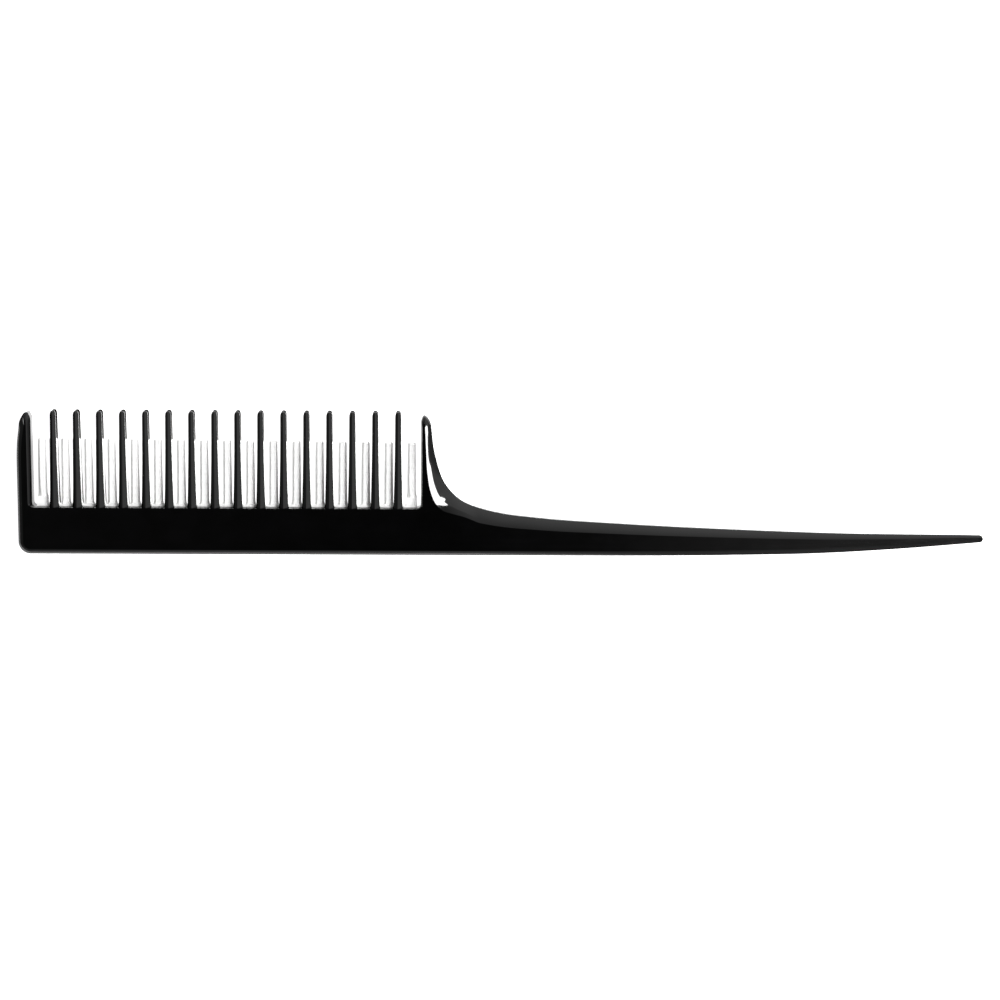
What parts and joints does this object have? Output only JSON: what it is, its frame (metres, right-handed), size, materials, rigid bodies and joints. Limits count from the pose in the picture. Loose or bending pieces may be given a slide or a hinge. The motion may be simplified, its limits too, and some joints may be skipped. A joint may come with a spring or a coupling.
{
  "type": "rat tail comb",
  "caption": "Rigid rat tail comb with front and rear rows of long teeth, white short teeth between the rows, broad guard teeth and a pointed tail handle.",
  "frame": {"origin": "bottom centre of the comb's box, lying on its back on a flat surface", "axes": "+X along the comb towards the tip of the tail, +Y towards the tips of the teeth, +Z out of the front face, through the thickness"},
  "size_m": [0.225, 0.0336, 0.005],
  "materials": {
    "black_plastic": "polished black moulding",
    "white_plastic": "glossy white moulding"
  },
  "bodies": {
    "root": {"front_long_tooth_01": "black_plastic", "front_long_tooth_02": "black_plastic", "front_long_tooth_03": "black_plastic", "front_long_tooth_04": "black_plastic", "front_long_tooth_05": "black_plastic", "front_long_tooth_06": "black_plastic", "front_long_tooth_07": "black_plastic", "front_long_tooth_08": "black_plastic", "front_long_tooth_09": "black_plastic", "front_long_tooth_10": "black_plastic", "front_long_tooth_11": "black_plastic", "front_long_tooth_12": "black_plastic", "front_long_tooth_13": "black_plastic", "front_long_tooth_14": "black_plastic", "front_long_tooth_15": "black_plastic", "front_long_tooth_16": "black_plastic", "left_guard_tooth": "black_plastic", "rear_long_tooth_01": "black_plastic", "rear_long_tooth_02": "black_plastic", "rear_long_tooth_03": "black_plastic", "rear_long_tooth_04": "black_plastic", "rear_long_tooth_05": "black_plastic", "rear_long_tooth_06": "black_plastic", "rear_long_tooth_07": "black_plastic", "rear_long_tooth_08": "black_plastic", "rear_long_tooth_09": "black_plastic", "rear_long_tooth_10": "black_plastic", "rear_long_tooth_11": "black_plastic", "rear_long_tooth_12": "black_plastic", "rear_long_tooth_13": "black_plastic", "rear_long_tooth_14": "black_plastic", "rear_long_tooth_15": "black_plastic", "rear_long_tooth_16": "black_plastic", "right_guard_tooth": "black_plastic", "short_teeth_01": "white_plastic", "short_teeth_02": "white_plastic", "short_teeth_03": "white_plastic", "short_teeth_04": "white_plastic", "short_teeth_05": "white_plastic", "short_teeth_06": "white_plastic", "short_teeth_07": "white_plastic", "short_teeth_08": "white_plastic", "short_teeth_09": "white_plastic", "short_teeth_10": "white_plastic", "short_teeth_11": "white_plastic", "short_teeth_12": "white_plastic", "short_teeth_13": "white_plastic", "short_teeth_14": "white_plastic", "short_teeth_15": "white_plastic", "short_teeth_16": "white_plastic", "short_teeth_17": "white_plastic", "short_tooth_rail": "white_plastic", "spine": "black_plastic", "tail_handle": "black_plastic"}
  },
  "joints": []
}
